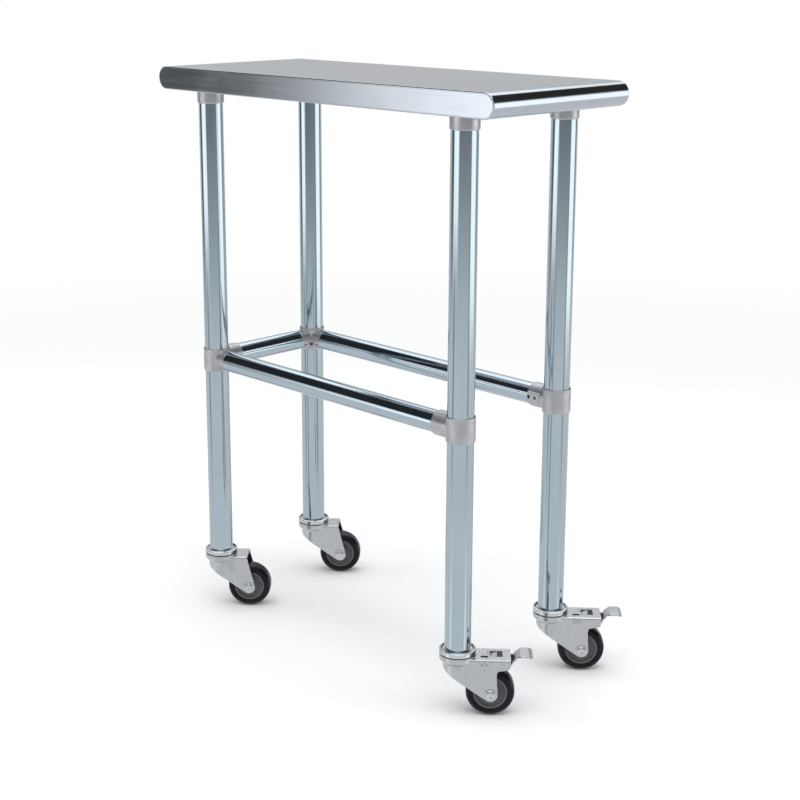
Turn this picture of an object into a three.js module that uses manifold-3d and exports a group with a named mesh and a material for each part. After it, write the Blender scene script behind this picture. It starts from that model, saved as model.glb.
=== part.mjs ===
// A narrow stainless work table on four swivel casters. Millimetres, +Z up.
// Origin: on the floor under the middle of the worktop. X runs along the table, Y across it.
// The front is -Y and the left end is -X. The two casters at the right end (+X) have brakes.
import * as THREE from 'three';
import { mergeVertices } from 'three/addons/utils/BufferGeometryUtils.js';
import Module from 'manifold-3d';

const wasm = await Module();
wasm.setup();

// ---- driving dimensions -------------------------------------------------------------------
const GAP = 0.3;                      // between pieces that touch
const TOP = { length: 762, width: 304.8, thick: 38, sheet: 1.2, lip: 12, height: 965 };
const LEG = { radius: 20.65, wall: 1.6, spanX: 582, spanY: 224.4, foot: 101.8 };
const RAIL = { radius: 17.45, wall: 1.2, height: 460.5 };
const CHANNEL = { length: 700, web: 48, flange: 12, depth: 26, sheet: 1.5 };
const SOCKET = { radius: 22.4, drop: 59, roof: 3 };
const FITTING = { radius: 22.7, height: 40, chamfer: 1.5, reach: 45, sleeve: 19.8, boss: 17,
  bossEnd: 38, spigot: 15.9, spigotEnd: 68, boreFloor: 24 };
const SCREW = { radius: 2.9, length: 3.2, holeRadius: 3.2, armReach: 40.5, collarDrop: 8 };
const CASTER = { wheel: 38.1, trail: 51, trailAngle: 43, capRadius: 28.6, crownTop: 98.2,
  plateTop: 96, sheet: 2.5, outerHalf: 22.5, lobe: 11.5, pin: 5.5, tread: 30,
  stemTop: 178, bush: 6.5, hubShare: 0.7 };
const BRAKE = { pivotU: 41.5, pivotZ: 84, pin: 2.5, halfWidth: 17, rearU: 82,
  slot: [35.5, 47.5, -11.5, -5.5], window: [50, 69.5, -8, 13] };
const ROUND = { tube: 20, pin: 16, small: 12, tyre: 32 };   // facets round each kind of piece

// ---- finishes -------------------------------------------------------------------------------
const finish = (color, roughness, metalness) =>
  new THREE.MeshStandardMaterial({ color, roughness, metalness });
const stainless = finish(0xbcbfc4, 0.28, 1);
const galvanised = finish(0xa9b4ba, 0.3, 1);
const dieCast = finish(0xa9abb4, 0.55, 0.9);
const zinc = finish(0xb2b5bb, 0.38, 1);
const screwSteel = finish(0x4b4d52, 0.5, 1);
const hubPlastic = finish(0x55595b, 0.6, 0);
const tyreRubber = finish(0x231c28, 0.75, 0);

// ---- solid helpers --------------------------------------------------------------------------
// A closed geometry as a manifold solid, with its faces pointing outwards.
function solid(geometry) {
  const bare = geometry.index ? geometry.clone() : geometry;
  bare.deleteAttribute('normal');
  bare.deleteAttribute('uv');
  const merged = mergeVertices(bare, 1e-4);
  const at = merged.attributes.position;
  const corner = [new THREE.Vector3(), new THREE.Vector3(), new THREE.Vector3()];
  const kept = [];
  let volume = 0;
  for (let i = 0; i < merged.index.count; i += 3) {
    const ids = [0, 1, 2].map((k) => merged.index.getX(i + k));
    if (new Set(ids).size < 3) continue;
    kept.push(ids);
    corner.forEach((v, k) => v.fromBufferAttribute(at, ids[k]));
    volume += corner[0].dot(corner[1].clone().cross(corner[2]));
  }
  const turned = volume < 0 ? kept.map(([a, b, c]) => [a, c, b]) : kept;
  return new wasm.Manifold(new wasm.Mesh({
    numProp: 3,
    vertProperties: Float32Array.from(at.array),
    triVerts: Uint32Array.from(turned.flat()),
  }));
}

function geometryOf(body) {
  const mesh = body.getMesh();
  const made = new THREE.BufferGeometry();
  made.setAttribute('position', new THREE.BufferAttribute(mesh.vertProperties, 3));
  made.setIndex(new THREE.BufferAttribute(mesh.triVerts, 1));
  const faceted = made.toNonIndexed();
  faceted.computeVertexNormals();
  return faceted;
}

const cut = (body, ...tools) => tools.reduce((left, tool) => left.subtract(tool), body);
const join = (body, ...more) => more.reduce((all, next) => all.add(next), body);

const box = (x0, x1, y0, y1, z0, z1) => solid(new THREE.BoxGeometry(x1 - x0, y1 - y0, z1 - z0)
  .translate((x0 + x1) / 2, (y0 + y1) / 2, (z0 + z1) / 2));

// A profile of [radius, height] points turned round Z.
function turned(points, facets) {
  const loop = points[0][0] === 0 ? points : [...points, points[0]];
  const profile = loop.map(([r, z]) => new THREE.Vector2(r, z));
  return solid(new THREE.LatheGeometry(profile, facets).rotateX(Math.PI / 2));
}

const rod = (radius, z0, z1, facets = ROUND.small) =>
  turned([[0, z0], [radius, z0], [radius, z1], [0, z1]], facets);
const tube = (outer, inner, z0, z1, facets = ROUND.tube) =>
  turned([[inner, z0], [outer, z0], [outer, z1], [inner, z1]], facets);

// An outline in X and Z given as a Shape, made thickness deep across Y and centred on y.
function slab(shape, thickness, y = 0, curveSegments = 8) {
  const options = { depth: thickness, bevelEnabled: false, curveSegments };
  return solid(new THREE.ExtrudeGeometry(shape, options)
    .rotateX(Math.PI / 2).translate(0, y + thickness / 2, 0));
}

const outline = (points) => new THREE.Shape(points.map(([x, z]) => new THREE.Vector2(x, z)));
const alongX = (body) => body.rotate([0, 90, 0]);    // +Z of the piece now points to +X
const alongY = (body) => body.rotate([-90, 0, 0]);   // +Z of the piece now points to +Y

const table = new THREE.Group();

function add(parent, name, body, material) {
  const mesh = new THREE.Mesh(geometryOf(body), material);
  mesh.name = name;
  parent.add(mesh);
}

// The four corners, by the words used in every name.
const corners = [
  { name: 'front_left', x: -1, y: -1 },
  { name: 'front_right', x: 1, y: -1 },
  { name: 'rear_left', x: -1, y: 1 },
  { name: 'rear_right', x: 1, y: 1 },
];
const legX = LEG.spanX / 2;
const legY = LEG.spanY / 2;

// ---- worktop: a folded sheet with half-round ends, open underneath ------------------------------
function stadium(radius, straight) {
  const shape = new THREE.Shape();
  shape.moveTo(-straight, -radius);
  shape.lineTo(straight, -radius);
  shape.absarc(straight, 0, radius, -Math.PI / 2, Math.PI / 2, false);
  shape.lineTo(-straight, radius);
  shape.absarc(-straight, 0, radius, Math.PI / 2, 1.5 * Math.PI, false);
  return shape;
}

function worktop() {
  const radius = TOP.thick / 2;
  const straight = TOP.length / 2 - radius;
  const skin = slab(stadium(radius, straight), TOP.width);
  const hollow = slab(stadium(radius - TOP.sheet, straight), TOP.width - 2 * TOP.sheet);
  const mouthX = straight - TOP.lip;
  const mouthY = TOP.width / 2 - TOP.lip;
  const mouth = box(-mouthX, mouthX, -mouthY, mouthY, -radius - 1, 0);
  return cut(skin, hollow, mouth).translate([0, 0, TOP.height - radius]);
}

// A hat section along X: two flanges under the sheet, and a web that carries the leg sockets.
const channelTop = TOP.height - TOP.sheet - GAP;
const channelFoot = channelTop - CHANNEL.depth;

function hatChannel() {
  const { web, flange, depth, sheet } = CHANNEL;
  const w = web / 2;
  const section = outline([
    [-w - flange, 0], [-w + sheet, 0], [-w + sheet, sheet - depth], [w - sheet, sheet - depth],
    [w - sheet, 0], [w + flange, 0], [w + flange, -sheet], [w, -sheet], [w, -depth],
    [-w, -depth], [-w, -sheet], [-w - flange, -sheet],
  ]);
  return slab(section, CHANNEL.length).rotate([0, 0, 90]).translate([0, 0, channelTop]);
}

// ---- legs and the cups that hold them under the top ---------------------------------------------
const socketTop = channelFoot - GAP;

function legSocket() {
  const bore = LEG.radius + GAP;
  const foot = TOP.height - SOCKET.drop;
  const roof = socketTop - SOCKET.roof;
  return turned([[0, socketTop], [SOCKET.radius, socketTop], [SOCKET.radius, foot + 1],
    [SOCKET.radius - 1, foot], [bore, foot], [bore, roof], [0, roof]], ROUND.tube);
}

function leg() {
  const top = socketTop - SOCKET.roof - GAP;
  return tube(LEG.radius, LEG.radius - LEG.wall, LEG.foot, top);
}

// ---- rail fittings ---------------------------------------------------------------------------------
// Each one is a collar on the leg with one arm per rail. A sleeve arm takes the rail inside it. A
// spigot arm is a short boss with a plug that goes inside the rail. Arms point along +X here.
function sleeveArm() {
  return rod(FITTING.sleeve, 0, FITTING.reach, ROUND.tube);
}

function sleeveBore() {
  const bore = RAIL.radius + GAP;
  return rod(bore, FITTING.boreFloor, FITTING.reach + 1, ROUND.tube);
}

function spigotArm() {
  const { boss, bossEnd, spigot, spigotEnd } = FITTING;
  return turned([[0, 0], [boss, 0], [boss, bossEnd], [spigot, bossEnd], [spigot, spigotEnd],
    [0, spigotEnd]], ROUND.tube);
}

function collar() {
  const { radius, chamfer } = FITTING;
  const h = FITTING.height / 2;
  return turned([[0, -h], [radius - chamfer, -h], [radius, chamfer - h], [radius, h - chamfer],
    [radius - chamfer, h], [0, h]], ROUND.tube);
}

const legBore = () => rod(LEG.radius + GAP, -FITTING.height, FITTING.height, ROUND.tube);
// The clamping screw's place: low on a left collar's inner side, or near the end of a right sleeve.
const screwSeat = (corner) => (corner.x < 0
  ? { along: 0, up: -SCREW.collarDrop, angle: -45 * corner.y, from: LEG.radius }
  : { along: -SCREW.armReach, up: 0, angle: -90 * corner.y, from: RAIL.radius });

function atScrew(corner, body) {
  const seat = screwSeat(corner);
  return alongX(body).rotate([0, 0, seat.angle]).translate([seat.along, 0, seat.up]);
}

function railFitting(corner) {
  const wayX = corner.x < 0 ? 0 : 180;
  const arms = [alongX(corner.x < 0 ? spigotArm() : sleeveArm()).rotate([0, 0, wayX])];
  const holes = [legBore(), atScrew(corner, rod(SCREW.holeRadius, 0, FITTING.reach))];
  if (corner.x > 0) holes.push(alongX(sleeveBore()).rotate([0, 0, wayX]));
  if (corner.x < 0) {
    const wayY = -90 * corner.y;
    arms.push(alongX(corner.y < 0 ? sleeveArm() : spigotArm()).rotate([0, 0, wayY]));
    if (corner.y < 0) holes.push(alongX(sleeveBore()).rotate([0, 0, wayY]));
  }
  return cut(join(collar(), ...arms), ...holes);
}

function clampScrew(corner) {
  const start = screwSeat(corner).from + GAP;
  return atScrew(corner, rod(SCREW.radius, start, start + SCREW.length));
}

// ---- rails -----------------------------------------------------------------------------------------
const plugged = FITTING.bossEnd + GAP;         // a rail end over a spigot, from the leg's axis
const housed = FITTING.boreFloor + GAP;        // a rail end inside a sleeve, from the leg's axis
const railTube = (from, to) => tube(RAIL.radius, RAIL.radius - RAIL.wall, from, to);
const longRail = () => alongX(railTube(-legX + plugged, legX - housed));
const endRail = () => alongY(railTube(-legY + housed, legY - plugged));

// ---- casters: U runs back along the trail, V across the fork, from the leg's axis ------------------
// The upper race: a ring with a rolled rim, whose recess takes the foot of the leg.
function casterCap() {
  const r = CASTER.capRadius;
  const seat = LEG.foot - GAP;
  const bore = CASTER.pin + 0.4;
  const foot = CASTER.crownTop + 0.6;
  const lipTop = foot + 8.5;
  return turned([[bore, foot], [r - 0.6, foot], [r, foot + 0.6], [r, lipTop - 1.2],
    [r - 1.2, lipTop], [r - 2.8, lipTop], [r - 5.2, lipTop - 2.8], [LEG.radius + 0.4, lipTop - 3.2],
    [LEG.radius + 0.4, seat], [bore, seat]], ROUND.tube);
}

// The king pin: a head under the fork, and a nut that squeezes the expander in the leg.
function casterStem() {
  const { pin, stemTop } = CASTER;
  const under = CASTER.plateTop - CASTER.sheet - GAP;
  return turned([[0, under - 3.7], [8, under - 3.7], [8, under], [pin, under], [pin, stemTop - 6],
    [9, stemTop - 6], [9, stemTop], [0, stemTop]], ROUND.pin);
}

function expander() {
  const r = LEG.radius - LEG.wall - GAP;
  const bore = CASTER.pin + GAP;
  return tube(r, bore, LEG.foot + 2, CASTER.stemTop - 6 - GAP, ROUND.pin);
}

// The cheeks from the side: the sloping nose, the lobe round the axle, and the trailing edge.
function forkSide(braked) {
  const { trail, wheel, lobe, plateTop, crownTop, capRadius } = CASTER;
  const shape = new THREE.Shape();
  shape.moveTo(-capRadius - 1, crownTop);
  shape.lineTo(-capRadius - 1, 89);
  shape.quadraticCurveTo(-24, 75, -8, 65);
  shape.lineTo(12.5, 51);
  const under = THREE.MathUtils.degToRad(-128);
  shape.lineTo(trail + lobe * Math.cos(under), wheel + lobe * Math.sin(under));
  shape.absarc(trail, wheel, lobe, under, THREE.MathUtils.degToRad(10), false);
  if (braked) {
    shape.lineTo(60.5, 70);
    shape.quadraticCurveTo(61.5, 78, 67, 79);
    shape.lineTo(76, 80);
    shape.quadraticCurveTo(BRAKE.rearU, 81, BRAKE.rearU, 87);
    shape.lineTo(BRAKE.rearU, plateTop);
  } else {
    shape.lineTo(48, plateTop);
  }
  shape.lineTo(capRadius, plateTop);
  shape.lineTo(capRadius, crownTop);
  return shape;
}

// The fork's plan: a half-round nose that runs into two flat cheeks.
function forkPlan(half, z0, z1) {
  return join(rod(half, z0, z1, ROUND.tube), box(0, 100, -half, half, z0, z1));
}

function fork(braked) {
  const { outerHalf, sheet, capRadius, plateTop, crownTop, trail, wheel, pin } = CASTER;
  const crown = turned([[0, 84], [outerHalf - 1, 84], [capRadius, 90.5], [capRadius, crownTop],
    [0, crownTop]], ROUND.tube);
  const body = join(forkPlan(outerHalf, 20, plateTop), crown)
    .intersect(slab(forkSide(braked), 2 * capRadius + 2, 0, 12));
  const holes = [
    forkPlan(outerHalf - sheet, 10, plateTop - sheet),
    rod(pin + 0.12, 80, 110, ROUND.tube),
    alongY(rod(4.3, -40, 40)).translate([trail, 0, wheel]),
  ];
  if (braked) {
    holes.push(alongY(rod(BRAKE.pin + GAP, -40, 40)).translate([BRAKE.pivotU, 0, BRAKE.pivotZ]));
    holes.push(box(...BRAKE.slot, 90, 110), box(...BRAKE.window, 90, 110));
  }
  return cut(body, ...holes);
}

// A headed pin across the fork, about its own axis.
function crossPin(radius, head, headThick) {
  const inner = CASTER.outerHalf + GAP;
  const outer = inner + headThick;
  return alongY(turned([[0, -outer], [head - 1, -outer], [head, -inner], [radius, -inner],
    [radius, inner], [head, inner], [head - 1, outer], [0, outer]], ROUND.small));
}

const axleBush = () => alongY(tube(CASTER.bush, 4.4, -19.7, 19.7, ROUND.pin));
const hubRim = CASTER.hubShare * CASTER.wheel;

function hub() {
  const bore = CASTER.bush + 0.13;
  return alongY(turned([[bore, -18.6], [11, -18.6], [12, -11], [22, -11], [23, -14], [hubRim, -14],
    [hubRim, 14], [23, 14], [22, 11], [12, 11], [11, 18.6], [bore, 18.6]], ROUND.tube));
}

function tyre() {
  const h = CASTER.tread / 2;
  const r = CASTER.wheel;
  return alongY(turned([[hubRim + GAP, -h], [r - 5, -h], [r - 1.4, -h + 2.4], [r, -h + 6.5],
    [r, h - 6.5], [r - 1.4, h - 2.4], [r - 5, h], [hubRim + GAP, h]], ROUND.tyre));
}

// The brake pedal from the side, about the pivot: an eye, a shoe over the tread and the foot tab.
function brakePedal() {
  const { pivotU, pivotZ, pin, halfWidth } = BRAKE;
  const side = outline([
    [36, 79.5], [47, 79.5], [47, 85.5], [58, 85.5], [58, 79.8], [66, 79.8], [66, 85.5], [83, 85.5],
    [88, 89.5], [93, 96], [98, 98.2], [110, 98.2], [115, 96], [116.5, 98.2], [111, 100.9],
    [96.5, 100.9], [90.5, 98], [85.5, 91.5], [82, 88.5], [36, 88.5],
  ]);
  const eye = alongY(rod(pin + 0.12, -40, 40)).translate([pivotU, 0, pivotZ]);
  return cut(slab(side, 2 * halfWidth), eye);
}

// A leaf fixed under the fork's plate, which bears on the pedal ahead of its shoe.
function brakeSpring() {
  const top = CASTER.plateTop - CASTER.sheet - GAP;
  return slab(outline([[16, top], [36, top], [46, top - 3.2], [46, top - 4], [35.8, top - 0.8],
    [16, top - 0.8]]), 16);
}

function addCaster(corner) {
  const named = (piece) => `${corner.name}_${piece}`;
  const braked = corner.x > 0;
  const caster = new THREE.Group();
  caster.position.set(corner.x * legX, corner.y * legY, 0);
  caster.rotation.z = THREE.MathUtils.degToRad(CASTER.trailAngle);
  add(caster, named('caster_cap'), casterCap(), zinc);
  add(caster, named('caster_stem'), casterStem(), zinc);
  add(caster, named('stem_expander'), expander(), tyreRubber);
  add(caster, named('fork'), fork(braked), zinc);
  if (braked) {
    const pivot = new THREE.Group();
    pivot.position.set(BRAKE.pivotU, 0, BRAKE.pivotZ);
    add(pivot, named('brake_rivet'), crossPin(BRAKE.pin, 4.5, 1.2), zinc);
    caster.add(pivot);
    add(caster, named('brake_pedal'), brakePedal(), zinc);
    add(caster, named('brake_spring'), brakeSpring(), screwSteel);
  }
  const wheel = new THREE.Group();
  wheel.position.set(CASTER.trail, 0, CASTER.wheel);
  add(wheel, named('axle'), crossPin(4, 7.5, 2.2), zinc);
  add(wheel, named('axle_bush'), axleBush(), zinc);
  add(wheel, named('hub'), hub(), hubPlastic);
  add(wheel, named('tyre'), tyre(), tyreRubber);
  caster.add(wheel);
  table.add(caster);
}

// ---- assembly --------------------------------------------------------------------------------------
add(table, 'worktop', worktop(), stainless);
for (const side of [{ name: 'front', y: -1 }, { name: 'rear', y: 1 }]) {
  add(table, `${side.name}_channel`, hatChannel().translate([0, side.y * legY, 0]), galvanised);
  const rail = longRail().translate([0, side.y * legY, RAIL.height]);
  add(table, `${side.name}_rail`, rail, galvanised);
}
add(table, 'left_rail', endRail().translate([-legX, 0, RAIL.height]), galvanised);

for (const corner of corners) {
  const post = new THREE.Group();
  post.position.set(corner.x * legX, corner.y * legY, 0);
  add(post, `${corner.name}_leg_socket`, legSocket(), dieCast);
  add(post, `${corner.name}_leg`, leg(), galvanised);
  const joint = new THREE.Group();
  joint.position.z = RAIL.height;
  add(joint, `${corner.name}_rail_fitting`, railFitting(corner), dieCast);
  add(joint, `${corner.name}_clamp_screw`, clampScrew(corner), screwSteel);
  post.add(joint);
  table.add(post);
  addCaster(corner);
}

export default table;
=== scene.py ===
"""A narrow stainless work table on four swivel casters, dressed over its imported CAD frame.

Pieces are modelled in millimetres about their own axis and put into the frame in metres.
The front is -Y, the left end is -X, and the right casters have brakes.
"""
import math

import bmesh
import bpy
from mathutils import Matrix, Vector


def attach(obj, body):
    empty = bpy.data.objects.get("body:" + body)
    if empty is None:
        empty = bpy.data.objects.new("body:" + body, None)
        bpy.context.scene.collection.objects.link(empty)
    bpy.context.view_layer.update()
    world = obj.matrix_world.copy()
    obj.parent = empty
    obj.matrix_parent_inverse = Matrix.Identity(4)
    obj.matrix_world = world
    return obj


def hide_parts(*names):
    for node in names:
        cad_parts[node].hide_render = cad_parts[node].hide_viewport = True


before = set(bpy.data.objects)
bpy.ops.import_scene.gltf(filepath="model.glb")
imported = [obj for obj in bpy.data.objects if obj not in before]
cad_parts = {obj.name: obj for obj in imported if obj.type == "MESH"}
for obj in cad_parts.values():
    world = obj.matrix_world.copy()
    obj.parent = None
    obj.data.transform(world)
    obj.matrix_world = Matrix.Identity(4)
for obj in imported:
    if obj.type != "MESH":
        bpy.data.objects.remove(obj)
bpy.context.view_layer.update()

MM = 0.001
FINE, ROUND, SMALL, TINY = 96, 64, 32, 16    # facets round wheels, tubes, pins and pinholes

# Lengths in millimetres.
LEG_X, LEG_Y = 291.0, 112.2
LEG_R, LEG_WALL, LEG_FOOT, LEG_TOP = 20.65, 1.6, 101.8, 933.9
RAIL_R, RAIL_WALL, RAIL_Z = 17.45, 1.2, 460.5
TOP_Z, TOP_THICK, TOP_LENGTH, TOP_WIDTH, TOP_SHEET = 965.0, 38.0, 762.0, 304.8, 1.2
MOUTH_X, MOUTH_Y, MOUTH_CORNER = 350.0, 140.4, 5.0
CHANNEL_TOP, CHANNEL_DEPTH, CHANNEL_HALF, CHANNEL_FLANGE = 963.5, 26.0, 24.0, 12.0
CHANNEL_SHEET, CHANNEL_LENGTH = 1.5, 700.0
SPOT_COUNT, SPOT_PITCH = 15, 46
SOCKET_R, SOCKET_FOOT, SOCKET_TOP, SOCKET_ROOF = 22.4, 906.0, 937.2, 3.0
BEAD_SIZE, BEAD_RIPPLES, RIPPLE_STEPS = 2.4, 38, 6
COLLAR_R, COLLAR_HALF, LEG_BORE = 22.7, 20.0, 20.95
SLEEVE_R, SLEEVE_END, SLEEVE_BORE, SLEEVE_FLOOR = 19.8, 45.0, 17.75, 24.0
BOSS_R, BOSS_END, SPIGOT_R, SPIGOT_END = 17.0, 38.0, 15.9, 68.0
SCREW_R, SCREW_LENGTH, SCREW_HOLE, SCREW_DROP = 2.9, 3.2, 3.2, 8.0
SCREW_REACH, PAD_FACE, PAD_HALF, PAD_LIFT = 40.5, 24.7, 8.5, 0.9
SECOND_REACH, SECOND_R, SECOND_LENGTH, SECOND_HOLE = 28.0, 2.3, 2.4, 2.6
PINHOLE_R, PINHOLE_SIDE = 1.5, 9.5
TRAIL, TRAIL_ANGLE, WHEEL_R, TREAD_HALF, HUB_R = 51.0, 43.0, 38.1, 15.0, 26.67
FORK_HALF, FORK_SHEET, FORK_BEND, FORK_LOBE = 22.5, 2.5, 2.6, 11.5
CROWN_R, CROWN_TOP, PLATE_TOP, STEM_TOP = 28.6, 98.2, 96.0, 178.0
PLATE_SLOT, PLATE_WINDOW = (35.5, 47.5, -11.5, -5.5), (50, 69.5, -8, 13)
PIVOT_U, PIVOT_Z, PEDAL_HALF = 41.5, 84.0, 17.0
FAR = 40.0                                   # a cutting tool reaches this far past what it cuts
CORNERS = {"front_left": (-1, -1), "front_right": (1, -1),
           "rear_left": (-1, 1), "rear_right": (1, 1)}


# ---- outlines ------------------------------------------------------------------------------------
def soften(points, radius, steps=3):
    """A closed outline with rounded corners. A point's third number is its own radius."""
    nearly_straight = math.radians(86)
    made = []
    for i, point in enumerate(points):
        before, here, after = (Vector(points[k % len(points)][:2]) for k in (i - 1, i, i + 1))
        wanted = point[2] if len(point) > 2 else radius
        back, on = before - here, after - here
        half = back.angle(on) / 2
        if wanted <= 0 or half > nearly_straight:
            made.append(here[:])
            continue
        reach = min(wanted / math.tan(half), 0.49 * back.length, 0.49 * on.length)
        start, end = here + reach * back.normalized(), here + reach * on.normalized()
        for k in range(steps + 1):
            t = k / steps
            made.append(((1 - t) ** 2 * start + 2 * t * (1 - t) * here + t * t * end)[:])
    return made


def arc(x, z, radius, start, end, steps):
    angles = (math.radians(start + (end - start) * k / steps) for k in range(steps + 1))
    return [(x + radius * math.cos(a), z + radius * math.sin(a)) for a in angles]


def mirrored(half):
    """A profile given for the low side, continued with its mirror image to the high side."""
    return half + [(r, -z, *rest) for r, z, *rest in reversed(half)]


# ---- solids --------------------------------------------------------------------------------------
def linked(mesh):
    obj = bpy.data.objects.new("piece", mesh)
    bpy.context.scene.collection.objects.link(obj)
    return obj


def shape(rings, closed):
    """A mesh object over rings of points. Rings of one point are tips."""
    bm = bmesh.new()
    made = [[bm.verts.new(p) for p in ring] for ring in rings]
    for a, b in zip(made, made[1:] + made[:1] if closed else made[1:]):
        count = max(len(a), len(b))
        for i in range(count if count > 1 else 0):
            j = (i + 1) % count
            corners = [a[i % len(a)], a[j % len(a)], b[j % len(b)], b[i % len(b)]]
            bm.faces.new(dict.fromkeys(corners))
    if not closed:
        for ring in (made[0], made[-1]):
            if len(ring) > 2:
                bm.faces.new(ring)
    bmesh.ops.recalc_face_normals(bm, faces=bm.faces)
    mesh = bpy.data.meshes.new("piece")
    bm.to_mesh(mesh)
    bm.free()
    return linked(mesh)


def lathe(profile, facets=ROUND):
    """A profile of (radius, height) points turned round Z. It starts on the axis or is a loop."""
    turns = [math.tau * k / facets for k in range(facets)]
    rings = [
        [(r * math.cos(a), r * math.sin(a), z) for a in turns] if r > 1e-6 else [(0, 0, z)]
        for r, z in profile
    ]
    return shape(rings, closed=profile[0][0] > 1e-6)


def prism(outline, low, high, along="Y"):
    """An outline in X and Z carried along Y, or in X and Y carried along Z."""
    if along == "Y":
        return shape([[(x, t, z) for x, z in outline] for t in (low, high)], closed=False)
    return shape([[(x, y, t) for x, y in outline] for t in (low, high)], closed=False)


def box(x0, x1, y0, y1, z0, z1):
    return prism([(x0, z0), (x1, z0), (x1, z1), (x0, z1)], y0, y1)


def rod(radius, low, high, edge=0.0, facets=ROUND):
    return lathe(soften([(0, low, 0), (radius, low), (radius, high), (0, high, 0)], edge), facets)


def tube(outer, inner, low, high, edge=0.4, facets=FINE):
    return lathe(soften([(inner, low), (outer, low), (outer, high), (inner, high)], edge), facets)


def moved(obj, *, turn=0.0, tip=None, by=(0, 0, 0)):
    """Tips a piece's +Z towards +X or +Y, turns it about Z in degrees, then shifts it."""
    tips = {None: Matrix(), "X": Matrix.Rotation(math.pi / 2, 4, "Y"),
            "Y": Matrix.Rotation(-math.pi / 2, 4, "X")}
    spin = Matrix.Rotation(math.radians(turn), 4, "Z")
    obj.data.transform(Matrix.Translation(by) @ spin @ tips[tip])
    return obj


def applied(obj):
    shown = obj.evaluated_get(bpy.context.evaluated_depsgraph_get())
    mesh = bpy.data.meshes.new_from_object(shown)
    obj.modifiers.clear()
    obj.data, old = mesh, obj.data
    bpy.data.meshes.remove(old)
    return obj


def combined(obj, others, way):
    for other in others:
        step = obj.modifiers.new("step", "BOOLEAN")
        step.operation, step.solver, step.object = way, "EXACT", other
    applied(obj)
    for other in others:
        bpy.data.meshes.remove(other.data)
    return obj


def cut(obj, *tools):
    return combined(obj, tools, "DIFFERENCE")


def join(obj, *more):
    return combined(obj, more, "UNION")


def rounded_off(obj, voxel, keep):
    """Melts a solid's edges and inner corners as casting or pressing does."""
    step = obj.modifiers.new("step", "REMESH")
    step.mode, step.voxel_size = "VOXEL", voxel
    step = obj.modifiers.new("step", "SMOOTH")
    step.factor, step.iterations = 0.5, 3
    step = obj.modifiers.new("step", "DECIMATE")
    step.ratio = keep
    return applied(obj)


def gathered(objs):
    """Several loose solids as one piece."""
    bm = bmesh.new()
    for obj in objs:
        bm.from_mesh(obj.data)
        bpy.data.meshes.remove(obj.data)
    mesh = bpy.data.meshes.new("piece")
    bm.to_mesh(mesh)
    bm.free()
    return linked(mesh)


def put(obj, name, body, finish, nodes=(), at=Matrix(), crease=32):
    """Names a piece, puts it in the frame, gives it its finish and its body, and hides its CAD
    nodes.

    Edges bent by more than the crease angle stay sharp, and flat faces keep their own normals.
    """
    material, slot = FINISH[finish]
    obj.name = name
    obj.data.transform(Matrix.Scale(MM, 4) @ at)
    obj.data.materials.clear()
    obj.data.materials.append(material)
    obj.data.shade_smooth()
    obj.data.set_sharp_from_angle(angle=math.radians(crease))
    step = obj.modifiers.new("flat_faces", "WEIGHTED_NORMAL")
    step.keep_sharp = True
    applied(obj)
    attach(obj, body)
    if nodes:
        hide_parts(*nodes)


# ---- shader graphs -------------------------------------------------------------------------------
class Graph:
    """Builds a node tree from short calls. A value is a number, a tuple or a node's output."""

    def __init__(self, tree):
        self.tree = tree
        tree.nodes.clear()

    def node(self, kind, values=None, **settings):
        made = self.tree.nodes.new("ShaderNode" + kind)
        for key, value in settings.items():
            setattr(made, key, value)
        for key, value in (values or {}).items():
            if isinstance(value, bpy.types.NodeSocket):
                self.tree.links.new(value, made.inputs[key])
            else:
                made.inputs[key].default_value = value
        return made

    def math(self, operation, a, b=0.0):
        return self.node("Math", {0: a, 1: b}, operation=operation).outputs[0]

    def plus(self, a, b):
        return self.math("ADD", a, b)

    def times(self, first, *more):
        for value in more:
            first = self.math("MULTIPLY", first, value)
        return first

    def spread(self, value, low, high, to_low=0.0, to_high=1.0):
        values = {"Value": value, "From Min": low, "From Max": high,
                  "To Min": to_low, "To Max": to_high}
        return self.node("MapRange", values, interpolation_type="SMOOTHSTEP").outputs[0]

    def colours(self, factor, a, b):
        a, b = ((*c, 1) if isinstance(c, tuple) else c for c in (a, b))
        return self.node("Mix", {0: factor, 6: a, 7: b}, data_type="RGBA").outputs[2]

    def noise(self, scale, detail=3.0, rough=0.55, grain=(1, 1, 1)):
        """Noise in the piece's own coordinates, drawn out along the axis where grain is small."""
        here = self.node("TexCoord").outputs["Object"]
        place = self.node("VectorMath", {0: here, 1: grain}, operation="MULTIPLY").outputs[0]
        values = {"Vector": place, "Scale": scale, "Detail": detail, "Roughness": rough}
        return self.node("TexNoise", values).outputs["Fac"]

    def bump(self, height, distance, strength, under=None):
        values = {"Height": height, "Distance": distance, "Strength": strength}
        if under:
            values["Normal"] = under
        return self.node("Bump", values).outputs[0]


def surface(name, colour, roughness, normal, metallic=1.0, **fixed):
    """Turns colour, roughness and normal functions of a Graph into a Principled material."""
    material = bpy.data.materials.new(name)
    material.use_nodes = True
    g = Graph(material.node_tree)
    values = {"Base Color": colour(g), "Roughness": roughness(g), "Normal": normal(g),
              "Metallic": metallic, **fixed}
    shader = g.node("BsdfPrincipled", values)
    g.tree.links.new(shader.outputs[0], g.node("OutputMaterial").inputs["Surface"])
    return material


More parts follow.
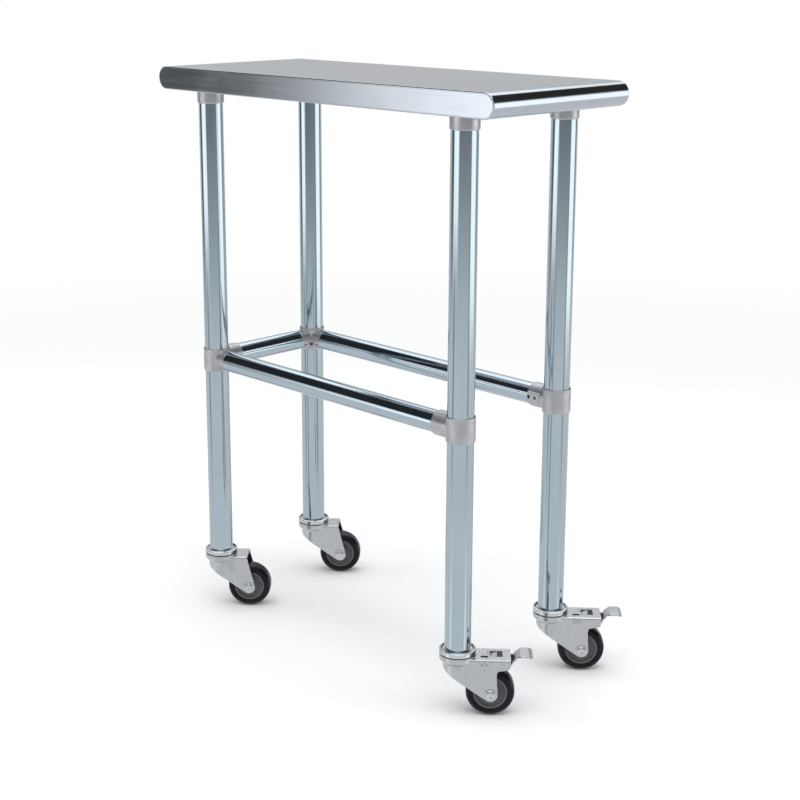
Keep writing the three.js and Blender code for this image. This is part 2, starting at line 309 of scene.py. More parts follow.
def brushed(name, axis, bright, dull, rough, streak):
    """Drawn or brushed metal: fine lines along one axis, faint smudges and long scratches."""
    grain = tuple(0.012 if letter == axis else 1 for letter in "XYZ")

    def colour(g):
        cloud = g.spread(g.noise(9, 4), 0.3, 0.7)
        lines = g.spread(g.noise(700, 2, grain=grain), 0.25, 0.75)
        return g.colours(g.plus(g.times(cloud, 0.55), g.times(lines, 0.45)), bright, dull)

    def roughness(g):
        smudge = g.spread(g.noise(14, 5, 0.6), 0.42, 0.68)
        lines = g.spread(g.noise(420, 3, grain=grain), 0.2, 0.8, rough - 0.03, rough + 0.04)
        return g.plus(lines, g.times(smudge, 0.03))

    def normal(g):
        fine = g.bump(g.noise(2400, 2, grain=grain), 0.00001, streak)
        coarse = g.bump(g.noise(330, 2, grain=grain), 0.000012, streak, fine)
        scratch = g.spread(g.noise(150, 6, 0.75, grain), 0.73, 0.76)
        return g.bump(g.times(scratch, -1.0), 0.00002, 0.4, coarse)

    return surface(name, colour, roughness, normal)


def cast_metal(name, bright, dull):
    """Blasted casting: matt, pebbled, a little darker in patches and rubbed at its edges."""
    pit, rub = (0.30, 0.30, 0.32), (0.62, 0.62, 0.64)

    def colour(g):
        patch = g.spread(g.noise(60, 5, 0.6), 0.35, 0.68)
        base = g.colours(patch, bright, dull)
        speck = g.spread(g.noise(1500, 2), 0.6, 0.72)
        base = g.colours(g.times(speck, 0.25), base, pit)
        rubbed = g.spread(g.node("NewGeometry").outputs["Pointiness"], 0.53, 0.6)
        return g.colours(g.times(rubbed, 0.5), base, rub)

    def roughness(g):
        return g.spread(g.noise(120, 4), 0.3, 0.7, 0.30, 0.42)

    def normal(g):
        pebble = g.bump(g.noise(900, 4, 0.6), 0.00008, 0.5)
        return g.bump(g.noise(70, 3), 0.0004, 0.15, pebble)

    return surface(name, colour, roughness, normal, metallic=0.82)


def plated(name, bright, dull, rough):
    """Zinc plate on pressed steel: speckled, with faint darker blooms."""
    stain = (0.30, 0.31, 0.34)

    def colour(g):
        speck = g.spread(g.noise(600, 4, 0.75), 0.34, 0.66)
        bloom = g.spread(g.noise(45, 5, 0.65), 0.52, 0.75)
        return g.colours(g.times(bloom, 0.4), g.colours(speck, bright, dull), stain)

    def roughness(g):
        return g.spread(g.noise(1100, 3), 0.3, 0.7, rough - 0.08, rough + 0.12)

    def normal(g):
        grit = g.bump(g.noise(1300, 3, 0.7), 0.00005, 0.7)
        return g.bump(g.noise(260, 4, 0.6), 0.00012, 0.35, grit)

    return surface(name, colour, roughness, normal)


def moulded(name, fresh, worn, rough, grit, **fixed):
    """Plastic or rubber: fine moulded texture, with dust in patches and fine scuffs."""
    def colour(g):
        dust = g.spread(g.noise(90, 6, 0.7), 0.45, 0.8)
        scuff = g.spread(g.noise(700, 3, 0.7), 0.58, 0.75)
        return g.colours(g.plus(g.times(dust, 0.55), g.times(scuff, 0.3)), fresh, worn)

    def roughness(g):
        return g.spread(g.noise(160, 4), 0.3, 0.7, rough - 0.1, rough + 0.1)

    def normal(g):
        fine = g.bump(g.noise(2600, 2), 0.00004, grit)
        return g.bump(g.noise(240, 4), 0.0002, 0.25, fine)

    return surface(name, colour, roughness, normal, metallic=0.0, **fixed)


SHEET_STEEL = (0.60, 0.64, 0.69), (0.56, 0.60, 0.65)
TUBE_STEEL = (0.54, 0.63, 0.69), (0.50, 0.59, 0.65)
CASTING = (0.565, 0.567, 0.592), (0.50, 0.502, 0.527)
DULL_ZINC = (0.70, 0.715, 0.745), (0.54, 0.555, 0.585)
BRIGHT_ZINC = (0.80, 0.81, 0.83), (0.66, 0.67, 0.69)
DARK_STEEL = (0.15, 0.15, 0.16), (0.09, 0.09, 0.10)
GREY_PLASTIC = (0.088, 0.092, 0.094), (0.14, 0.14, 0.14)
BLACK_RUBBER = (0.008, 0.003, 0.011), (0.018, 0.012, 0.020)
SOFT_RUBBER = (0.03, 0.03, 0.032), (0.08, 0.08, 0.08)
FINISH = {
    "top": (brushed("stainless_sheet", "X", *SHEET_STEEL, 0.11, 0.18), "stainless"),
    "leg": (brushed("drawn_tube_upright", "Z", *TUBE_STEEL, 0.09, 0.2), "galvanised"),
    "rail_x": (brushed("drawn_tube_long", "X", *TUBE_STEEL, 0.09, 0.2), "galvanised"),
    "rail_y": (brushed("drawn_tube_cross", "Y", *TUBE_STEEL, 0.09, 0.2), "galvanised"),
    "cast": (cast_metal("die_casting", *CASTING), "die_cast"),
    "zinc": (plated("zinc_plate", *DULL_ZINC, 0.22), "zinc_plate"),
    "cap": (plated("polished_zinc", *BRIGHT_ZINC, 0.12), "zinc_plate"),
    "screw": (plated("dark_screw_steel", *DARK_STEEL, 0.45), "screw_steel"),
    "hub": (moulded("hub_plastic", *GREY_PLASTIC, 0.5, 0.5), "hub_plastic"),
    "tyre": (moulded("tyre_rubber", *BLACK_RUBBER, 0.18, 0.4, **{"Specular IOR Level": 0.22}),
             "tyre_rubber"),
    "expander": (moulded("expander_rubber", *SOFT_RUBBER, 0.7, 0.7), "expander_rubber"),
}


# ---- worktop -------------------------------------------------------------------------------------
def stadium(inset):
    """The worktop's outline from the front, with half-round ends, drawn smaller by an inset."""
    radius, steps = TOP_THICK / 2, 20
    straight, z = TOP_LENGTH / 2 - radius, TOP_Z - radius
    return (arc(straight, z, radius - inset, -90, 90, steps)
            + arc(-straight, z, radius - inset, 90, 270, steps))


def worktop():
    """The sheet's skin with its folded long edges, hollow and open underneath."""
    edge, steps = 1.7, 5
    fold = [(2.75, 0), (2.6, 0.55), (2.15, 0.55), (2.0, 0.05)]
    for k in range(steps + 1):
        a = math.pi / 2 * k / steps
        fold.append((edge * (1 - math.sin(a)), edge * (1 - math.cos(a))))
    front = TOP_WIDTH / 2
    rings = [[(x, depth - front, z) for x, z in stadium(inset)] for inset, depth in fold]
    rings += [[(x, front - depth, z) for x, z in stadium(inset)] for inset, depth in reversed(fold)]
    skin = shape(rings, closed=False)
    wall = 3 * TOP_SHEET
    hollow = prism(stadium(wall), wall - front, front - wall)
    foot = TOP_Z - TOP_THICK
    mouth = box(-MOUTH_X, MOUTH_X, -MOUTH_Y, MOUTH_Y, foot - 5, foot + 10)
    return cut(skin, hollow, mouth)


def hem():
    """The turned-in edge round the mouth: outwards and height, carried round a rectangle."""
    foot = TOP_Z - TOP_THICK
    section = soften([(-1.3, foot - 0.1), (0.1, foot - 0.1), (0.1, foot + 1.4), (8, foot + 1.4),
                      (8, foot + 3.6), (-1.3, foot + 3.6)], 0.7)
    rings = []
    for quarter, (sign_x, sign_y) in enumerate(((1, 1), (-1, 1), (-1, -1), (1, -1))):
        centre = Vector((sign_x * (MOUTH_X - MOUTH_CORNER), sign_y * (MOUTH_Y - MOUTH_CORNER)))
        for k in range(7):
            a = math.radians(90 * quarter + 15 * k)
            out = Vector((math.cos(a), math.sin(a)))
            rings.append([(*(centre + (MOUTH_CORNER + o) * out), z) for o, z in section])
    return shape(rings, closed=True)


def channel(y):
    half, flange, sheet, low = CHANNEL_HALF, CHANNEL_FLANGE, CHANNEL_SHEET, -CHANNEL_DEPTH
    outer, inner, lip = 3.0, 1.5, 0.4
    section = soften([
        (-half - flange, 0, lip), (-half + sheet, 0, inner), (-half + sheet, sheet + low, inner),
        (half - sheet, sheet + low, inner), (half - sheet, 0, inner), (half + flange, 0, lip),
        (half + flange, -sheet, lip), (half, -sheet, inner), (half, low, outer),
        (-half, low, outer), (-half, -sheet, inner), (-half - flange, -sheet, lip)], 1.0, 4)
    beam = prism(section, -CHANNEL_LENGTH / 2, CHANNEL_LENGTH / 2)
    return moved(beam, turn=90, by=(0, y, CHANNEL_TOP))


def spot_welds(y):
    """Small pressed dimples in a row along both flanges of a channel."""
    row = CHANNEL_HALF + CHANNEL_FLANGE / 2 + 0.8
    dots = []
    for side in (-1, 1):
        for k in range(SPOT_COUNT):
            dot = lathe([(0, 0.1), (2.6, 0.1), (3.1, -0.1), (2.4, -0.35), (0, -0.2)], TINY)
            x = SPOT_PITCH * (k - SPOT_COUNT // 2)
            dots.append(moved(dot, by=(x, y + side * row, CHANNEL_TOP - CHANNEL_SHEET)))
    return gathered(dots)


put(worktop(), "worktop_shell", "frame", "top", ["worktop"], crease=28)
put(hem(), "worktop_hem", "frame", "top")
for side, y in (("front", -LEG_Y), ("rear", LEG_Y)):
    put(channel(y), f"{side}_hat_channel", "frame", "rail_x", [f"{side}_channel"])
    put(spot_welds(y), f"{side}_spot_welds", "frame", "rail_x")


# ---- legs, sockets and rails ---------------------------------------------------------------------
def socket():
    roof = SOCKET_TOP - SOCKET_ROOF
    return lathe(soften([
        (0, SOCKET_TOP, 0), (SOCKET_R, SOCKET_TOP, 0.5), (SOCKET_R, SOCKET_FOOT + 1.4, 0.9),
        (SOCKET_R - 1.1, SOCKET_FOOT, 0.5), (LEG_BORE, SOCKET_FOOT, 0.2), (LEG_BORE, roof, 0.5),
        (0, roof, 0)], 0.5), FINE)


def weld_bead():
    """A rippled fillet weld round a socket, against the channel above it."""
    root, steps = SOCKET_R - 0.6, BEAD_RIPPLES * RIPPLE_STEPS
    rings = []
    for k in range(steps):
        a = math.tau * k / steps
        ripple = 0.16 * abs(math.sin(BEAD_RIPPLES * a / 2)) + 0.07 * math.sin(3 * a)
        swell = BEAD_SIZE * (1 + ripple)
        section = [(root, 0.2), (SOCKET_R + swell, 0.2), (SOCKET_R + swell * 0.72, -swell * 0.5),
                   (SOCKET_R + swell * 0.3, -swell * 0.85), (root, -swell)]
        rings.append([(r * math.cos(a), r * math.sin(a), z) for r, z in section])
    return shape(rings, closed=True)


def sleeve(turn):
    """The arm that a rail slides into, turned in degrees from +X."""
    return moved(rod(SLEEVE_R, 0, SLEEVE_END, 1.2), tip="X", turn=turn)


def boss(turn):
    """The short arm behind a spigot that a rail slides over."""
    return moved(rod(BOSS_R, 0, BOSS_END, 0.8), tip="X", turn=turn)


def leg_bore():
    chamfer, wide, mouth = 0.9, LEG_BORE + 1.2, COLLAR_HALF + 0.2
    return lathe([(0, -FAR), (wide, -FAR), (wide, -mouth), (LEG_BORE, chamfer - COLLAR_HALF),
                  (LEG_BORE, COLLAR_HALF - chamfer), (wide, mouth), (wide, FAR), (0, FAR)], FINE)


def sleeve_bore(turn):
    chamfer = 0.8
    wide, clear = SLEEVE_BORE + 1.2 * chamfer, SLEEVE_END + 4
    profile = [(0, SLEEVE_FLOOR), (SLEEVE_BORE, SLEEVE_FLOOR), (SLEEVE_BORE, SLEEVE_END - chamfer),
               (wide, SLEEVE_END + 0.2), (wide, clear), (0, clear)]
    return moved(lathe(profile), tip="X", turn=turn)


def set_screw(radius, length):
    """A set screw with a hexagon socket and rounded ends."""
    body = lathe(soften([(0, 0, 0), (radius, 0), (radius, length), (0, length, 0)], 0.5), SMALL)
    flat = 0.55 * radius
    key = lathe([(0, length - 1.7), (flat, length - 1.5), (flat, length + 1), (0, length + 1)], 6)
    return cut(body, key)


def aim_screw(sign_x, sign_y, along=SCREW_REACH):
    """How to move a screw or hole that points up, for a corner. Along is the way along an arm."""
    if sign_x < 0:
        return {"tip": "X", "turn": -45 * sign_y, "by": (0, 0, -SCREW_DROP)}
    return {"tip": "X", "turn": -90 * sign_y, "by": (-along, 0, 0)}


def left_fitting(sign_y):
    """A collar with two arms, and screw pads between them on its inner side."""
    inward, between = -90 * sign_y, -45 * sign_y
    parts = [boss(0), sleeve(inward) if sign_y < 0 else boss(inward)]
    for side, radius in ((0, 9.5), (-8, 8.5), (8, 8.5)):
        pad = moved(rod(radius, 8, PAD_FACE, 1.0, SMALL), tip="X", by=(0, side, 0))
        parts.append(moved(pad, turn=between, by=(0, 0, -SCREW_DROP)))
    bores = [sleeve_bore(inward)] if sign_y < 0 else []
    holes = [moved(rod(SCREW_HOLE, 15, FAR, 0, SMALL), **aim_screw(-1, sign_y))]
    for side in (-PINHOLE_SIDE, PINHOLE_SIDE):
        hole = moved(rod(PINHOLE_R, 20, FAR, 0, TINY), tip="X", by=(0, side, 0.5 - SCREW_DROP))
        holes.append(moved(hole, turn=between))
    return parts, bores + holes


def right_fitting(sign_y):
    """A collar with one arm, and a flat screw pad on the arm's inner side."""
    pad_face = -sign_y * (SLEEVE_R + PAD_LIFT)
    parts = [sleeve(180), box(-43.5, -20, *sorted((0, pad_face)), -PAD_HALF, PAD_HALF)]
    holes = [moved(rod(radius, 15, FAR, 0, SMALL), **aim_screw(1, sign_y, along))
             for radius, along in ((SCREW_HOLE, SCREW_REACH), (SECOND_HOLE, SECOND_REACH))]
    return parts, [sleeve_bore(180)] + holes


def fitting(sign_x, sign_y):
    parts, tools = left_fitting(sign_y) if sign_x < 0 else right_fitting(sign_y)
    body = join(rod(COLLAR_R, -COLLAR_HALF, COLLAR_HALF, 1.7), *parts)
    return cut(rounded_off(body, 0.6, 0.45), leg_bore(), *tools)


for corner, (sign_x, sign_y) in CORNERS.items():
    post = Matrix.Translation((sign_x * LEG_X, sign_y * LEG_Y, 0))
    at_rail = post @ Matrix.Translation((0, 0, RAIL_Z))
    put(tube(LEG_R, LEG_R - LEG_WALL, LEG_FOOT, LEG_TOP), f"{corner}_leg_tube", "frame", "leg",
        [f"{corner}_leg"], post)
    put(socket(), f"{corner}_socket_cup", "frame", "cast", [f"{corner}_leg_socket"], post)
    under_channel = post @ Matrix.Translation((0, 0, CHANNEL_TOP - CHANNEL_DEPTH))
    put(weld_bead(), f"{corner}_socket_weld", "frame", "rail_x", (), under_channel, 60)
    put(fitting(sign_x, sign_y), f"{corner}_fitting_casting", "frame", "cast",
        [f"{corner}_rail_fitting"], at_rail, 50)
    start = (LEG_R if sign_x < 0 else RAIL_R) + 0.3
    screw = moved(set_screw(SCREW_R, SCREW_LENGTH), by=(0, 0, start))
    put(moved(screw, **aim_screw(sign_x, sign_y)), f"{corner}_set_screw", "frame", "screw",
        [f"{corner}_clamp_screw"], at_rail)
    if sign_x > 0:
        second = moved(set_screw(SECOND_R, SECOND_LENGTH), by=(0, 0, start))
        put(moved(second, **aim_screw(sign_x, sign_y, SECOND_REACH)), f"{corner}_second_screw",
            "frame", "screw", (), at_rail)
    spigots = {"front_left": [0], "rear_left": [0, -90]}.get(corner, [])
    for count, turn in enumerate(spigots):
        spigot = moved(rod(SPIGOT_R, BOSS_END - 4, SPIGOT_END, 1.5), tip="X", turn=turn)
        put(spigot, f"{corner}_spigot_{count}", "frame", "cast", (), at_rail)

for side, y in (("front", -LEG_Y), ("rear", LEG_Y)):
    start, end = -LEG_X + BOSS_END + 0.3, LEG_X - SLEEVE_FLOOR - 0.3
    put(moved(tube(RAIL_R, RAIL_R - RAIL_WALL, start, end), tip="X"), f"{side}_rail_tube", "frame",
        "rail_x", [f"{side}_rail"], Matrix.Translation((0, y, RAIL_Z)))
start, end = -LEG_Y + SLEEVE_FLOOR + 0.3, LEG_Y - BOSS_END - 0.3
put(moved(tube(RAIL_R, RAIL_R - RAIL_WALL, start, end), tip="Y"), "left_rail_tube", "frame",
    "rail_y", ["left_rail"], Matrix.Translation((-LEG_X, 0, RAIL_Z)))


# ---- casters -------------------------------------------------------------------------------------
# U is the way the fork trails, level and away from the king pin. Pieces lie along it as along X.
def cap():
    """The bearing race under a leg, dished round the leg's foot."""
    bore, mouth = 5.9, LEG_R + 0.4
    foot, top, seat, r = CROWN_TOP + 0.6, CROWN_TOP + 9.1, LEG_FOOT - 0.3, CROWN_R
    return lathe(soften([
        (bore, foot, 0.2), (r - 1.6, foot, 0.5), (r, foot + 1.5, 0.6), (r, top - 1.0, 1.3),
        (r - 2.6, top, 1.0), (r - 5.0, top - 3.2, 1.2), (mouth, top - 3.6, 0.5),
        (mouth, seat, 0.4), (bore, seat, 0.3)], 0.5, 4), FINE)


def stem():
    """The king pin: a domed head under the plate, a shank, and a wide end over the expander."""
    under, shank, wide, step = PLATE_TOP - FORK_SHEET - 0.3, 5.5, 9, STEM_TOP - 6
    return lathe(soften([
        (0, under - 3.7, 0), (7, under - 3.7, 2.0), (8, under - 1.5), (8, under), (shank, under),
        (shank, step), (wide, step), (wide, STEM_TOP), (0, STEM_TOP, 0)], 0.5), SMALL)


def expander():
    """The ribbed rubber sleeve that grips the inside of a leg."""
    outer, inner, foot = LEG_R - LEG_WALL - 0.3, 5.8, LEG_FOOT + 2
    ribs = []
    for k in range(9):
        z = foot + 7.5 * k
        ribs += [(outer, z, 0.6), (outer, z + 5.5, 0.6), (outer - 1.2, z + 6.2, 0.4)]
    return lathe(soften([(inner, foot)] + ribs + [(inner, STEM_TOP - 6.3)], 0.5, 2))


def across(radius, half, facets=ROUND, at=(0, 0), edge=0.0):
    """A rod across the fork, centred on its middle plane."""
    return moved(rod(radius, -half, half, edge, facets), tip="Y", by=(at[0], 0, at[1]))


def fork_plan(half, low, high):
    """A block seen from above with a half-round nose about the king pin."""
    tail = 110
    return prism(arc(0, 0, half, 90, 270, 28) + [(tail, -half), (tail, half)], low, high, along="Z")


def fork(braked):
    """Pressed steel: a crown over a half-round nose that runs into two flat cheeks."""
    axle, pivot = (TRAIL, WHEEL_R), (PIVOT_U, PIVOT_Z)
    nose = [(-29.6, 110, 0), (-29.6, 89, 2), (-23, 76, 16), (-8, 65, 16), (12.5, 51, 9)]
    lobe = [(u, z, 0) for u, z in arc(*axle, FORK_LOBE, -128, 10, 16)]
    tail = ([(60.5, 70, 4), (61.8, 77.6, 6), (81.5, 80.2, 8), (82, PLATE_TOP, 0)] if braked
            else [(48, PLATE_TOP, 0)])
    brow = [(CROWN_R + 1, PLATE_TOP, 0), (CROWN_R + 1, 110, 0)]
    side = prism(soften(nose + lobe + tail + brow, 0, 6), -30, 30)
    crown = lathe([(0, 82), (FORK_HALF - 1, 82), (FORK_HALF + 2.5, 86.5), (CROWN_R, 90.3),
                   (CROWN_R, CROWN_TOP), (0, CROWN_TOP)])
    bends = soften([(-FORK_HALF, 0, 0), (FORK_HALF, 0, 0), (FORK_HALF, PLATE_TOP, FORK_BEND),
                    (-FORK_HALF, PLATE_TOP, FORK_BEND)], 0, 5)
    sheet = combined(fork_plan(FORK_HALF, 20, PLATE_TOP),
                     [moved(prism(bends, -120, 40), turn=90)], "INTERSECT")
    body = combined(join(sheet, crown), [side], "INTERSECT")
    rings = [across(9.6, FORK_HALF + 0.5, at=axle)]
    tools = [fork_plan(FORK_HALF - FORK_SHEET, 10, PLATE_TOP - FORK_SHEET), rod(5.62, 80, 110),
             across(4.3, FAR, at=axle)]
    if braked:
        lip = moved(rod(2.4, -4, 12, 0.8, SMALL), tip="Y", by=(48.6, 0, PLATE_TOP - 0.4))
        rings += [across(6.2, FORK_HALF + 0.4, at=pivot), lip]
        tools += [across(2.8, FAR, at=pivot), box(*PLATE_WINDOW, 90, 110),
                  box(*PLATE_SLOT, 90, 110)]
    body = rounded_off(cut(join(body, *rings), *tools), 0.5, 0.28)
    if not braked:
        return body
    tongue = soften([(48.6, 93.4), (52, 91.6), (61.5, 94.6), (61.1, 95.8), (52, 93.0),
                     (48.6, 94.8)], 0.4)
    return gathered([body, prism(tongue, -5.5, 10.5)])


def rivet(radius, head, thick):
    """A pin across the fork whose domed heads each have a half-moon dimple."""
    inner = FORK_HALF + 0.3
    outer, sunk, clear = inner + thick, 1.8, 2
    pin = lathe(soften(mirrored([(0, -outer, 0), (0.55 * head, -outer, 1.0),
                                 (head - 0.6, -outer + 0.45 * thick, 0.6), (head, -inner, 0.3),
                                 (radius, -inner, 0.2)]), 0.3), 48)
    moon = arc(0.10 * head, 0, 0.46 * head, -80, 80, 10)
    dimples = [moved(prism(moon, low, high, along="Z"), turn=65)
               for low, high in ((-outer - clear, sunk - outer), (outer - sunk, outer + clear))]
    return moved(cut(pin, *dimples), tip="Y")


def hub():
    bore, end, web, bead = 6.63, -18.6, -11.0, -9.7
    return moved(lathe(soften(mirrored([
        (bore, end), (10.4, end, 0.6), (11.6, web, 1.2), (15.2, web, 0.4), (15.6, bead, 0.4),
        (17.0, bead, 0.4), (17.4, web, 0.4), (21.6, web, 1.2), (22.9, -14, 0.7),
        (HUB_R, -14, 0.3)]), 0.4), FINE), tip="Y")


def tyre():
    """Rounded shoulders, a fine groove in each wall and a mould line round the tread."""
    h, r = TREAD_HALF, WHEEL_R
    return moved(lathe(soften(mirrored([
        (HUB_R + 0.3, -h + 0.6, 0.3), (28.6, -h, 0.4), (29.6, -h + 0.5, 0.3), (30.4, -h, 0.4),
        (r - 4.6, -h, 2.0), (r - 1.2, -h + 2.6, 2.5), (r, -h + 7.5, 3.0), (r, -0.45, 0.1),
        (r - 0.12, -0.3, 0.1)]), 0.3, 4), 128), tip="Y")


def pedal():
    """The brake pedal: an eye on the rivet, a shoe over the tread, and a curled foot tab."""
    low, shoe, high, half = 79.5, 79.8, 85.5, PEDAL_HALF
    side = soften([
        (36, low), (47, low), (47, high), (58, high), (58, shoe), (66, shoe), (66, high),
        (83, high, 3), (88, 89.5, 4), (93, 96, 4), (98, 98.2, 4), (110, 98.2, 2), (115, 96, 0.8),
        (116.5, 98.2, 1.2), (111, 100.9, 3), (96.5, 100.9, 4), (90.5, 98, 4), (85.5, 91.5, 4),
        (82, 88.5, 3), (36, 88.5)], 0.6)
    plan = soften([(30, -half, 0), (30, half, 0), (95, half, 1), (116.8, half, 7),
                   (116.8, -half, 7), (95, -half, 1)], 0, 6)
    body = combined(prism(side, -half, half), [prism(plan, 70, 110, along="Z")], "INTERSECT")
    neck = [prism([(85, wide), (85, waist), (93, waist), (99, wide)], 60, 110, along="Z")
            for wide, waist in ((-18, -12.5), (18, 12.5))]
    body = cut(body, across(2.62, FAR, at=(PIVOT_U, PIVOT_Z)), *neck)
    return rounded_off(body, 0.55, 0.22)


def spring():
    """The leaf under the plate that holds the pedal up or down."""
    top, leaf = PLATE_TOP - FORK_SHEET - 0.3, 0.8
    tip = top - 3.2
    return prism(soften([(16, top, 0.2), (36, top, 4), (46, tip, 0.2), (46, tip - leaf, 0.2),
                         (35.8, top - leaf, 4), (16, top - leaf, 0.2)], 0.2, 5), -8, 8)


shared = {"braked": fork(True), "plain": fork(False), "pedal": pedal()}


def copied(name):
    return linked(shared[name].data.copy())


for corner, (sign_x, sign_y) in CORNERS.items():
    braked = sign_x > 0
    at = (Matrix.Translation((sign_x * LEG_X, sign_y * LEG_Y, 0))
          @ Matrix.Rotation(math.radians(TRAIL_ANGLE), 4, "Z"))
    axle = at @ Matrix.Translation((TRAIL, 0, WHEEL_R))
    swivel, wheel = f"{corner}_swivel", f"{corner}_wheel"
    put(cap(), f"{corner}_race", "frame", "cap", [f"{corner}_caster_cap"], at)
    put(stem(), f"{corner}_king_pin", "frame", "zinc", [f"{corner}_caster_stem"], at)
    put(expander(), f"{corner}_expander", "frame", "expander", [f"{corner}_stem_expander"], at)
    put(copied("braked" if braked else "plain"), f"{corner}_fork_pressing", swivel, "zinc",
        [f"{corner}_fork"], at, 60)
    put(rivet(4, 7.5, 2.2), f"{corner}_axle_rivet", swivel, "cap", [f"{corner}_axle"], axle, 40)
    put(moved(tube(6.5, 4.4, -19.7, 19.7, 0.3, SMALL), tip="Y"), f"{corner}_bush", swivel, "zinc",
        [f"{corner}_axle_bush"], axle)
    put(hub(), f"{corner}_wheel_hub", wheel, "hub", [f"{corner}_hub"], axle)
    put(tyre(), f"{corner}_wheel_tyre", wheel, "tyre", [f"{corner}_tyre"], axle)
    if braked:
        pivot = at @ Matrix.Translation((PIVOT_U, 0, PIVOT_Z))
        put(rivet(2.5, 4.5, 1.2), f"{corner}_pedal_rivet", swivel, "cap",
            [f"{corner}_brake_rivet"], pivot, 40)
        put(spring(), f"{corner}_leaf_spring", swivel, "screw", [f"{corner}_brake_spring"], at)
        put(copied("pedal"), f"{corner}_pedal_pressing", f"{corner}_brake", "zinc",
            [f"{corner}_brake_pedal"], at, 60)
for obj in shared.values():
    bpy.data.objects.remove(obj)


# ---- studio --------------------------------------------------------------------------------------
WHITE = 1.0                                  # the background's and the floor rim's brightness
FLOOR_R, FLOOR_FACETS = 3.8, 96
# Azimuth from +X towards +Y, half width and soft edge, in degrees.
FAR_GROUND, BACK_WALL, FRONT_WALL = (137, 47, 22), (134.5, 36, 6), (315, 32, 16)
LEFT_PANEL, RIGHT_PANEL = (246, 16.5, 12), (37, 18, 12)
LEFT_SHADE, LEFT_LINE, RIGHT_LINE = (207, 8, 8), (241, 2.5, 6), (11, 2.5, 6)
LEFT_GLOW, RIGHT_GLOW = (246, 2, 9), (16, 3, 9)
PANEL_LEVEL, CEILING_LEVEL, GLOW_LEVEL, LIT_LEVEL = 1.55, 1.9, 0.42, 0.75


def studio_world():
    """A pale surround to the eye. In reflections: a bright ceiling, dark walls and tall panels.

    Each panel stands over a grey floor, with a dim line beside its foot and a glow nearer by.
    """
    world = bpy.data.worlds.new("studio")
    world.use_nodes = True
    bpy.context.scene.world = world
    g = Graph(world.node_tree)
    plus, times = g.plus, g.times
    x, y, z = g.node("SeparateXYZ", {0: g.node("TexCoord").outputs["Generated"]}).outputs
    flat = g.math("SQRT", plus(times(x, x), times(y, y)))

    def toward(azimuth, half, soft):
        a = math.radians(azimuth)
        along = plus(times(x, math.cos(a)), times(y, math.sin(a)))
        cosine = g.math("DIVIDE", along, g.math("MAXIMUM", flat, 1e-4))
        return g.spread(cosine, math.cos(math.radians(half + soft)), math.cos(math.radians(half)))

    def over(full, none):
        """1 over the first elevation in degrees, and 0 below the second."""
        return g.spread(z, math.sin(math.radians(none)), math.sin(math.radians(full)))

    def under(full, none):
        """1 under the first elevation in degrees, and 0 above the second."""
        return g.math("SUBTRACT", 1, over(none, full))

    def dimmed(level, share):
        return times(level, g.math("SUBTRACT", 1, share))

    far = toward(*FAR_GROUND)
    behind = times(toward(*BACK_WALL), plus(0.53, times(over(44, 18), 0.95)))
    walls = plus(plus(0.025, behind), times(toward(*FRONT_WALL), 0.45))

    ground = plus(0.21, times(under(-15.5, -4), 0.54))
    ground = dimmed(ground, times(over(-9, -14), times(toward(*LEFT_SHADE), 0.6)))
    for line, share, top in ((LEFT_LINE, 0.62, (-13, -10)), (RIGHT_LINE, 0.55, (-10, -7))):
        shade = times(toward(*line), share)
        ground = dimmed(ground, times(over(-16, -21), times(under(*top), shade)))
    for glow in (LEFT_GLOW, RIGHT_GLOW):
        ground = plus(ground, times(toward(*glow), under(-26, -20), GLOW_LEVEL))
    ground = g.math("MAXIMUM", ground, times(far, 0.72))

    low, ceiling = under(-3, 1), over(58, 50)
    level = plus(times(ground, low), dimmed(walls, low))
    left = times(toward(*LEFT_PANEL), under(6, 12), over(-8.5, -13.5))
    right = times(toward(*RIGHT_PANEL), under(8, 19), over(-11.5, -17.5))
    for panel in (left, right):
        level = g.math("MAXIMUM", level, times(panel, PANEL_LEVEL))
    level = plus(dimmed(level, ceiling), times(ceiling, CEILING_LEVEL))

    seen = g.node("Background", {"Color": (1, 1, 1, 1), "Strength": WHITE})
    lit = g.node("Background", {"Color": (0.98, 0.99, 1, 1), "Strength": LIT_LEVEL})
    mirror = g.node("Background", {"Color": (0.98, 0.99, 1, 1), "Strength": level})
    rays = g.node("LightPath").outputs
    glossy = g.node("MixShader", {0: rays["Is Glossy Ray"], 1: lit.outputs[0],
                                  2: mirror.outputs[0]})
    final = g.node("MixShader", {0: rays["Is Camera Ray"], 1: glossy.outputs[0],
                                 2: seen.outputs[0]})
    g.tree.links.new(final.outputs[0], g.node("OutputWorld").inputs["Surface"])


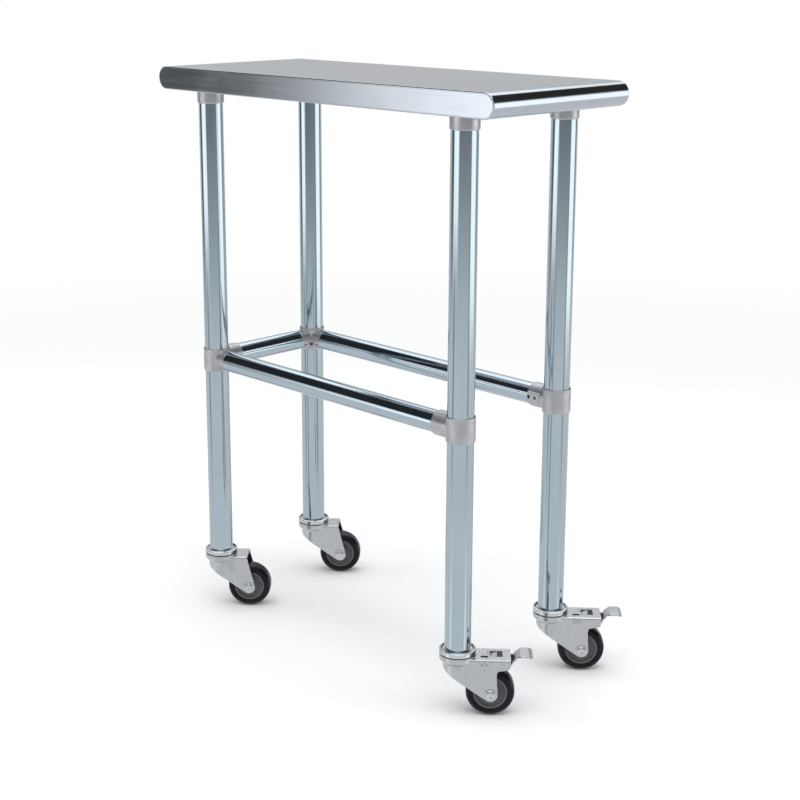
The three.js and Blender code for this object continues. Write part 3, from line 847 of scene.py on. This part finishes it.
def studio_floor():
    """A pale disc that fades into the surround. Metal mirrors the surround's ground instead."""
    mesh = bpy.data.meshes.new("floor")
    turns = [math.tau * k / FLOOR_FACETS for k in range(FLOOR_FACETS)]
    rim = [(FLOOR_R * math.cos(a), FLOOR_R * math.sin(a), 0) for a in turns]
    mesh.from_pydata(rim, [], [range(FLOOR_FACETS)])
    floor = linked(mesh)
    floor.name = "floor"
    material = bpy.data.materials.new("floor")
    material.use_nodes = True
    g = Graph(material.node_tree)
    here = g.node("TexCoord").outputs["Object"]
    reach = g.node("VectorMath", {0: here}, operation="LENGTH").outputs["Value"]
    rays = g.node("LightPath").outputs
    fade = g.times(g.spread(reach, 1.0, FLOOR_R - 0.4), rays["Is Camera Ray"])
    pale = g.colours(g.noise(3, 3), (0.80, 0.80, 0.80), (0.82, 0.82, 0.82))
    matt = g.node("BsdfDiffuse", {"Color": pale})
    glow = g.node("Emission", {"Color": (1, 1, 1, 1), "Strength": WHITE})
    mixed = g.node("MixShader", {0: fade, 1: matt.outputs[0], 2: glow.outputs[0]})
    g.tree.links.new(mixed.outputs[0], g.node("OutputMaterial").inputs["Surface"])
    floor.data.materials.append(material)
    floor.visible_glossy = False


def area_light(name, at, size, watts):
    """A soft light that faces the table and isn't seen in the metal."""
    table_middle = Vector((0, 0, 0.4))
    data = bpy.data.lights.new(name, "AREA")
    data.shape, data.size, data.size_y = "RECTANGLE", *size
    data.energy = watts
    light = bpy.data.objects.new(name, data)
    light.location = at
    light.rotation_euler = (table_middle - Vector(at)).to_track_quat("-Z", "Y").to_euler()
    light.visible_glossy = False
    bpy.context.scene.collection.objects.link(light)


studio_world()
studio_floor()
area_light("overhead", (0.2, -0.3, 3.4), (3.6, 3.6), 95)
area_light("left_fill", (-2.6, -2.0, 1.8), (1.6, 1.6), 18)
area_light("right_fill", (2.4, 1.0, 1.9), (1.4, 1.8), 14)

camera_data = bpy.data.cameras.new("camera")
camera_data.lens, camera_data.sensor_width = 69.11, 36.0
camera_data.shift_x, camera_data.shift_y = 0.0348, -0.09
camera = bpy.data.objects.new("camera", camera_data)
camera.location = (1.7753, -1.7347, 1.142)
camera.rotation_euler = (math.radians(76.49), 0, math.radians(45.9))
bpy.context.scene.collection.objects.link(camera)
bpy.context.scene.camera = camera
bpy.context.scene.view_settings.view_transform = "Standard"
